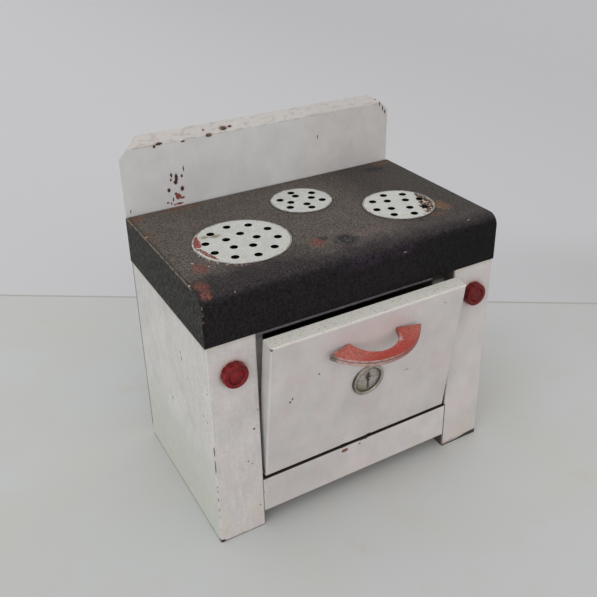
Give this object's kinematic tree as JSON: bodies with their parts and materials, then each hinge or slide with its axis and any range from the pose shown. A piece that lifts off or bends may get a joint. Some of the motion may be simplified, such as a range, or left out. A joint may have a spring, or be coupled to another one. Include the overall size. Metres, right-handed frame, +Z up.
{
  "type": "toy oven",
  "caption": "Toy electric range of folded sheet steel: perforated cooktop, backsplash, drop-down oven door with crescent pull and dial thermometer, knobs, rack and heater.",
  "frame": {"origin": "on the floor, under the middle of the whole range's bounding box with the door ajar", "axes": "+X to the range's right as seen from the front, +Y to its back, +Z up"},
  "size_m": [0.33, 0.2641, 0.3631],
  "materials": {
    "white_enamel": "stoved white enamel, worn",
    "black_wrinkle": "black wrinkle paint, white burners",
    "bare_steel": "dull bare sheet",
    "wire_steel": "drawn wire",
    "fastener_steel": "plated, dull",
    "pull_red": "red paint over bare metal",
    "knob_red": "moulded, semi-gloss",
    "gauge_metal": "tarnished pressed bezel",
    "dial_silver": "satin dial",
    "pointer_black": "matt black",
    "ceramic_white": "unglazed",
    "resistance_wire": "coiled heating wire",
    "brass": "plain brass",
    "lead_sleeve": "woven glass sleeving"
  },
  "bodies": {
    "cabinet": {"right_side_panel": "white_enamel", "left_side_panel": "white_enamel", "kick_panel": "white_enamel", "rear_panel": "bare_steel", "cooktop": "black_wrinkle", "backsplash": "white_enamel", "oven_liner": "bare_steel", "hinge_pins": "fastener_steel", "hinge_spacers": "fastener_steel", "kick_rivets": "fastener_steel", "liner_rivets": "fastener_steel", "rear_screws": "fastener_steel", "backsplash_screws": "fastener_steel", "heater_shelf": "bare_steel", "element_plate": "ceramic_white", "heating_coil": "resistance_wire", "element_bolt": "fastener_steel", "element_nut": "fastener_steel", "element_terminals": "brass", "element_leads": "lead_sleeve", "inlet_insulator": "ceramic_white", "inlet_pins": "brass", "inlet_guard": "bare_steel", "inlet_screws": "fastener_steel"},
    "door": {"door_panel": "white_enamel", "door_handle": "pull_red", "handle_screws": "fastener_steel", "stop_studs": "fastener_steel", "gauge_bezel": "gauge_metal", "gauge_cup": "gauge_metal", "gauge_dial": "dial_silver", "bimetal_coil": "gauge_metal"},
    "pointer": {"gauge_pointer": "pointer_black", "gauge_staff": "gauge_metal"},
    "rack": {"oven_rack": "wire_steel"},
    "left_knob": {"left_knob": "knob_red", "left_knob_clip": "fastener_steel"},
    "right_knob": {"right_knob": "knob_red", "right_knob_clip": "fastener_steel"}
  },
  "joints": [
    {"name": "door_hinge", "type": "hinge", "parent": "cabinet", "child": "door", "pos_m": [0, -0.07365, 0.0666], "axis": [1, 0, 0], "range_deg": [-7.9, 82.1]},
    {"name": "gauge_staff_turn", "type": "hinge", "parent": "door", "child": "pointer", "pos_m": [0, -0.0896, 0.14515], "axis": [0, -0.9905, -0.1374], "range_deg": [-120, 120], "stiffness_Nm_per_rad": 0.0002},
    {"name": "rack_slide", "type": "slide", "parent": "cabinet", "child": "rack", "axis": [0, -1, 0], "range_m": [0, 0.02]},
    {"name": "left_knob_turn", "type": "hinge", "parent": "cabinet", "child": "left_knob", "pos_m": [-0.1393, -0.07865, 0.1975], "axis": [0, -1, 0], "continuous": true},
    {"name": "right_knob_turn", "type": "hinge", "parent": "cabinet", "child": "right_knob", "pos_m": [0.1393, -0.07865, 0.1975], "axis": [0, -1, 0], "continuous": true}
  ]
}
